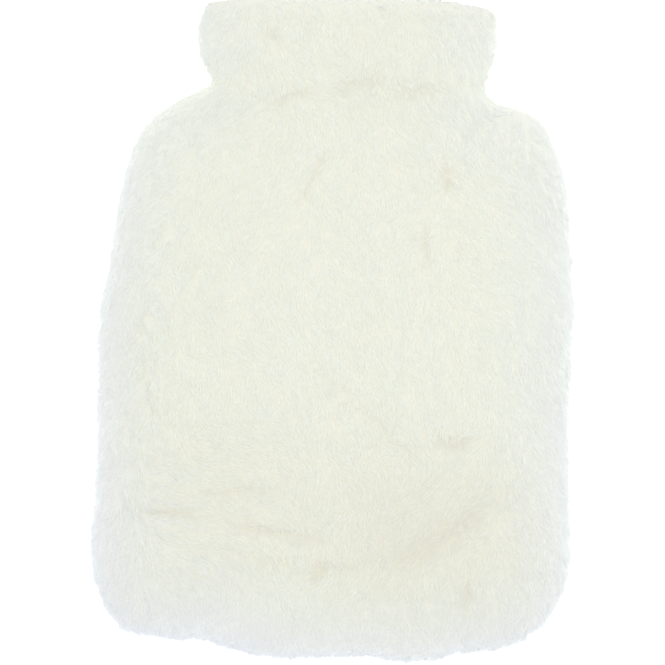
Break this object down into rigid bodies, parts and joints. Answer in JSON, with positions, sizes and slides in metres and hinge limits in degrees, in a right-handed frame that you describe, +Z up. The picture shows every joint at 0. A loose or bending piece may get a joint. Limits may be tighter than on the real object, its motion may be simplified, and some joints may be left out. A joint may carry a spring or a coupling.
{
  "type": "hot water bottle cover",
  "caption": "Hollow deep-pile lambskin cover for a hot water bottle, lying on its back, with a soft collar that is open at its top and woolly rims.",
  "frame": {"origin": "on the surface that the cover lies on, under the middle of its outline", "axes": "+X towards the viewer's right, +Y towards the collar, +Z up out of the front panel"},
  "size_m": [0.2632, 0.359, 0.0736],
  "materials": {
    "front_wool": "matte deep wool pile, cream",
    "back_wool": "matte deep wool pile, cream, pressed flat where it lies",
    "rim_wool": "matte wool locks, cool off-white at their tips"
  },
  "bodies": {
    "root": {"front_panel": "front_wool", "back_panel": "back_wool", "rim_wool": "rim_wool"}
  },
  "joints": []
}
